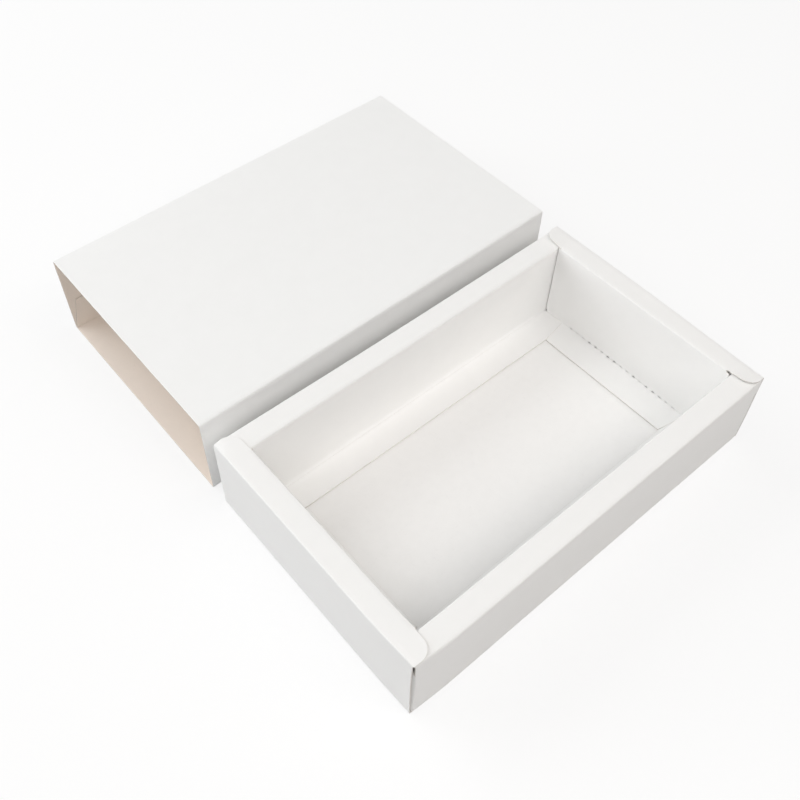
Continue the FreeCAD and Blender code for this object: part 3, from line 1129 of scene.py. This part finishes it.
        first, last = ("right", "left") if turned else ("left", "right")
        made = []
        for end, place, axes, low, high, bottom, top in (
            (first, (x, y + wide, fold[0]), (MINUS_Y, X, Z), CUT, FOLD,
             (corner(r, r, 0.0, -1.0), level(wide)),
             (tip(0.0, -1.0), slope(root, wide - BOARD, height, wide - lean))),
            (last, (-x, y, fold[0]), (Y, MINUS_X, Z), FOLD, CUT,
             (level(0.0), corner(r, r, wide, 1.0)),
             (slope(root, BOARD, height, lean), tip(wide, 1.0))),
        ):
            runs = [
                Run(0.0, r, *bottom, low, high),
                Run(r, root, level(0.0), level(wide), low, high),
                Run(root, height, *top, CUT, CUT),
            ]
            made.append(self.panel(f"{side}_{end}_tab", place, axes, turned, span=wide,
                                   length=height, low=low, high=high, runs=runs))
        return made

    def rim_runs(self, outer: float, root: float, relief: tuple[float, float]) -> list[Run]:
        """The stretches of a short end's rim, with an ear and a small hole at either end.

        Args:
            outer: The rim's length.
            root: The ears' length.
            relief: How wide the holes are at the roots of its first and second ear.
        Returns:
            The stretches.
        """
        r, zero = self.ear_radius, level(0.0)
        ear, tip = self.rim - self.ear_setback, corner(r, r, 0.0, 1.0)

        def ear_edge(w: np.ndarray) -> np.ndarray:
            """The ear's slanted edge with its rounded tip."""
            return ear - self.ear_taper * (1 - np.clip(w / root, 0, 1)) + tip(np.minimum(w, r))

        def ear_runs(wide: float) -> list[Run]:
            """The stretches of the first ear and its hole."""
            return [
                Run(0.0, r, zero, ear_edge, FOLD, CUT),
                Run(r, root, zero, ear_edge, FOLD, CUT),
                Run(root, root + wide, zero, hole(root, wide, self.rim, 1.0), FOLD, CUT),
            ]

        middle = Run(root + relief[0], outer - root - relief[1], zero, level(self.rim), FOLD, FOLD)
        return [*ear_runs(relief[0]), middle, *mirrored(ear_runs(relief[1]), outer)]

    def rim_shape(self, outer: float, root: float, lifts: tuple[float, float], seed: int) -> Shape:
        """A short end's rim, which sinks in its middle and whose ears stand up.

        Args:
            outer: The rim's length.
            root: The ears' length.
            lifts: How far the tips of its first and second ear stand up.
            seed: Of its waves.
        Returns:
            The depth at each point.
        """
        waves, ear = Waviness(seed, 0.03), self.rim - self.ear_setback

        def depth(u: np.ndarray, w: np.ndarray) -> np.ndarray:
            """(0.12 + waves) bump bump - (u / ear)^1.3 (1 - exp(-distance from the root))."""
            rise = sum(
                lift * (1 - np.exp(-np.clip(root - place, 0, root) / self.ear_bend))
                for lift, place in zip(lifts, (w, outer - w))
            )
            middle = bump(u / self.rim) * bump((w - root) / (outer - 2 * root))
            return (0.12 + waves.at(u, w)) * middle - np.clip(u / ear, 0, 1) ** 1.3 * rise

        return depth

    def hinge_runs(
        self, start: float, hinge: float, line: float, low: Side, edges: tuple[Edge, Edge],
        openings: np.ndarray,
    ) -> list[Run]:
        """Stretches of a panel whose high side has a row of slits through its fold.

        Args:
            start: Where the hinge starts along the panel.
            hinge: The hinge's length.
            line: Where the hinge lies across the panel, one board before its high side.
            low: The low side.
            edges: The kinds of the low side and of the high side between the slits.
            openings: How far each slit opens.
        Returns:
            The stretches.
        """
        runs, at = [], start
        begin = start + (hinge - (self.slits - 1) * self.slit_pitch - self.slit) / 2
        whole = level(line + BOARD)
        for index, opening in enumerate(openings):
            slit = begin + index * self.slit_pitch
            runs.append(Run(at, slit, low, whole, *edges))
            at = slit + self.slit
            runs.append(Run(slit, at, low, level(line - opening), edges[0], CUT))
        return [*runs, Run(at, start + hinge, low, whole, *edges)]

    def short_side(
        self, side: str, seed: int, lifts: tuple[float, float], relief: tuple[float, float],
        bites: tuple[float, float],
    ) -> list[Panel]:
        """The outer wall, rim with ears, inner wall and floor flap of one short end.

        Args:
            side: left or right.
            seed: Of its unevenness.
            lifts: How far the tips of its first and second ear stand up.
            relief: How wide the small holes are at the roots of its first and second ear.
            bites: How high the inner wall is cut away at its first and second foot.
        Returns:
            The panels.
        """
        t, turned = BOARD, side == "right"
        x, y = -self.length / 2, self.setback - self.width / 2
        outer, inside = self.width - 2 * self.setback, self.rim + self.wall_gap
        inner, root = self.width - 2 * inside, inside - self.setback
        flap_from = self.rim + self.long_flap - self.flap_taper + self.flap_gap
        flap, short = self.width - 2 * flap_from, self.short_flap
        foot, stand = self.height - 2 * t, flap_from - inside
        draw = np.random.default_rng(SEED + seed)
        openings = 0.07 + 0.24 * draw.uniform(0, 1, self.slits) ** 1.5

        def foot_runs(wide: float, bite: float) -> list[Run]:
            """The stretches of the inner wall's first end, beside the hinge."""
            clear = max(wide, 0.9)
            return [
                Run(0.0, clear, hole(0.0, wide, 0.0, -1.0), level(foot - bite), CUT, CUT),
                Run(clear, stand, level(0.0), level(foot), FOLD, CUT),
            ]

        wall_runs = [
            *foot_runs(relief[0], bites[0]),
            *self.hinge_runs(stand, flap, foot, level(0.0), (FOLD, COUNTERFOLD), openings),
            *mirrored(foot_runs(relief[1], bites[1]), inner),
        ]

        def flap_side(w: np.ndarray) -> np.ndarray:
            """The flap's free side, which runs back to the hinge at both ends."""
            share = np.clip(np.minimum(w, flap - w) / self.flap_taper, 0, 1)
            return (short - 0.5) * (1 - share)

        lift = self.lifted(0.14, lambda u, w: (short - u) / short, 1.4, Waviness(seed + 4, 0.06))
        return [
            self.panel(f"{side}_end_outer_wall", (x, y, 0), (Z, X, Y), turned,
                       span=self.height, length=outer,
                       bow=self.bowed(0.25, self.height, outer, seed)),
            self.panel(f"{side}_end_rim", (x, y, self.height), (X, MINUS_Z, Y), turned,
                       span=self.rim, length=outer, runs=self.rim_runs(outer, root, relief),
                       bow=self.rim_shape(outer, root, lifts, seed + 1), bead=0.0),
            self.panel(f"{side}_end_inner_wall", (x + self.rim, y + root, self.height),
                       (MINUS_Z, MINUS_X, Y), turned, span=foot + t, length=inner,
                       runs=wall_runs, bow=self.bowed(0.3, foot + t, inner, seed + 2)),
            self.panel(f"{side}_end_floor_flap",
                       (x + self.rim + short, flap_from - self.width / 2, t),
                       (MINUS_X, Z, Y), turned, span=short + t, length=flap,
                       runs=self.hinge_runs(0.0, flap, short, flap_side, (CUT, FOLD), openings),
                       bow=lift, flipped=True, bead=0.0),
        ]

    def panels(self) -> list[Panel]:
        """The base and the four sides."""
        t, long, wide = BOARD, self.length, self.width
        under = level(self.layer), level(long - self.layer)
        runs = [
            Run(0.0, t, *under, CUT, CUT),
            Run(t, wide - t, level(0.0), level(long), FOLD, FOLD),
            Run(wide - t, wide, *under, CUT, CUT),
        ]
        return [
            self.panel("tray_base", (-long / 2, -wide / 2, 0), (X, Z, Y), False, span=long,
                       length=wide, first=FOLD, last=FOLD, runs=runs),
            *self.long_side("near", 10),
            *self.long_side("far", 20),
            *self.short_side("left", 30, (0.1, 0.03), (0.9, 0.3), (0.5, 0.5)),
            *self.short_side("right", 40, (0.6, 0.65), (0.5, 1.9), (1.6, 0.5)),
        ]


# ---------------------------------------------------------------- the studio


@dataclass(frozen=True)
class Lamp:
    """A square soft lamp that faces the box: its place in metres, side, watts and colour."""

    name: str
    place: Vec
    size: float
    power: float
    colour: Colour = (1.0, 1.0, 1.0)

    def build(self) -> None:
        """Hangs the lamp."""
        light = bpy.data.lights.new(self.name, "AREA")
        light.size = self.size
        light.energy = self.power
        light.color = self.colour
        item = bpy.data.objects.new(self.name, light)
        x, y, z = self.place
        item.location = self.place
        tilt, turn = math.atan2(math.hypot(x, y), z), math.atan2(-y, -x) - math.pi / 2
        item.rotation_euler = (tilt, 0.0, turn)
        bpy.context.scene.collection.objects.link(item)


@dataclass
class Studio:
    """The pale table, the soft lamps and the camera."""

    seen_colour: Colour = (0.99, 0.99, 0.99)
    table_colour: Colour = (0.8, 0.8, 0.8)
    table_reach: float = 6.0
    table_drop: float = 0.0002
    cloud: Grain = Grain(3, 2)
    glow: float = 0.75
    sky: float = 0.18
    lamps: tuple[Lamp, ...] = (
        Lamp("left_back", (-1.1, 0.7, 1.0), 1.0, 3.2, (0.97, 0.99, 1.0)),
        Lamp("back", (-0.4, 1.22, 1.03), 1.0, 9.5, (0.97, 0.99, 1.0)),
        Lamp("left_low", (-1.05, 0.85, 0.28), 0.5, 4.2, (0.98, 0.99, 1.0)),
        Lamp("front_left", (-0.7, -0.8, 1.1), 1.0, 6.4, (1.0, 0.975, 0.965)),
        Lamp("front_right", (0.9, -1.0, 1.1), 1.0, 5.1, (1.0, 0.93, 0.88)),
        Lamp("front_high", (0.3, -0.8, 1.5), 0.8, 5.5, (1.0, 0.98, 0.94)),
        Lamp("over", (0.0, 0.0, 1.6), 1.6, 1.0),
    )
    camera_place: Vec = (-0.19038, -0.21076, 0.36362)
    camera_turn: Vec = (0.67603, 0.0, -0.69612)
    lens: float = 43.05
    shift: tuple[float, float] = (0.0393, -0.0419)

    def seen(self, tree: Tree) -> Signal:
        """1 for rays of the camera, of mirrors and through glass, and 0 for the light itself."""
        path = tree.make("LightPath", {}, {})
        camera, mirror, glass = (
            Signal(tree, path.outputs[name])
            for name in ("Is Camera Ray", "Is Glossy Ray", "Is Transmission Ray")
        )
        return camera._math("MAXIMUM", camera._math("MAXIMUM", camera, mirror), glass)

    def table(self) -> None:
        """The table top, a wide plane, pale and partly glowing for the camera alone."""
        mesh = bpy.data.meshes.new("table_top")
        signs = ((-1, -1), (1, -1), (1, 1), (-1, 1))
        corners = [(x * self.table_reach, y * self.table_reach, -self.table_drop) for x, y in signs]
        mesh.from_pydata(corners, [], [(0, 1, 2, 3)])
        material, tree, place = new_material("table_paper")
        cloud = tree.noise(place, self.cloud)
        white = linear(self.seen_colour)
        shown = tree.mix(cloud, shaded(white, 0.99), white)
        tone = tree.mix(self.seen(tree), linear(self.table_colour), shown)
        paper = tree.make("BsdfDiffuse", {}, {"Color": tone})
        glow = tree.make("Emission", {}, {"Color": (1, 1, 1, 1), "Strength": 1.0})
        tree.blend(MATERIAL, self.seen(tree) * self.glow, paper, glow)
        mesh.materials.append(material)
        item = bpy.data.objects.new("table_top", mesh)
        bpy.context.scene.collection.objects.link(item)

    def world(self) -> None:
        """A pale surround that lights softly and is white to the camera."""
        world = bpy.data.worlds.new("surround")
        world.use_nodes = True
        tree = Tree(world.node_tree)
        light = tree.make("Background", {}, {"Color": (1, 1, 1, 1), "Strength": self.sky})
        white = tree.make("Background", {}, {"Color": (1, 1, 1, 1), "Strength": 1.0})
        tree.blend(WORLD, self.seen(tree), light, white)
        bpy.context.scene.world = world

    def build(self) -> None:
        """Sets up table, surround, lamps and camera."""
        self.table()
        self.world()
        for lamp in self.lamps:
            lamp.build()
        camera = bpy.data.cameras.new("view")
        camera.lens = self.lens
        camera.sensor_width = 36.0
        camera.clip_start = 0.01
        camera.shift_x, camera.shift_y = self.shift
        item = bpy.data.objects.new("view", camera)
        item.location = self.camera_place
        item.rotation_euler = self.camera_turn
        bpy.context.scene.collection.objects.link(item)
        bpy.context.scene.camera = item
        bpy.context.scene.view_settings.view_transform = "Standard"


# ---------------------------------------------------------------- the box


def body_names() -> dict[str, str]:
    """The body of every node, as the record gives them."""
    bodies = frame["record"]["behaviour"]["bodies"]
    return {node: body for body, nodes in bodies.items() for node in nodes}


def main() -> None:
    """Builds the sleeve, the tray and the studio."""
    logging.basicConfig(level=logging.INFO, format="%(message)s")
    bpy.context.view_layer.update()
    sleeve_stock = Stock(
        "sleeve_board",
        Coated("sleeve_white_face", (0.965, 0.966, 0.963)),
        Reverse("sleeve_warm_back", (0.975, 0.935, 0.895)),
        Core("sleeve_cut_edge", (0.89, 0.86, 0.83)),
    )
    tray_stock = Stock(
        "tray_board",
        Coated("tray_white_face", (0.967, 0.965, 0.96)),
        Reverse("tray_white_back", (0.972, 0.969, 0.964)),
        Core("tray_cut_edge", (0.90, 0.885, 0.865)),
    )
    owners = body_names()
    for stock, panels in ((sleeve_stock, Sleeve().panels()), (tray_stock, Tray().panels())):
        materials = stock.build()
        for panel in panels:
            item = panel.mesh(materials)
            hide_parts(panel.name)
            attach(item, owners[panel.name])
            LOG.info("%s: %d faces on %s", item.name, len(item.data.polygons), owners[panel.name])
    Studio().build()


if __name__ == "__main__":
    main()
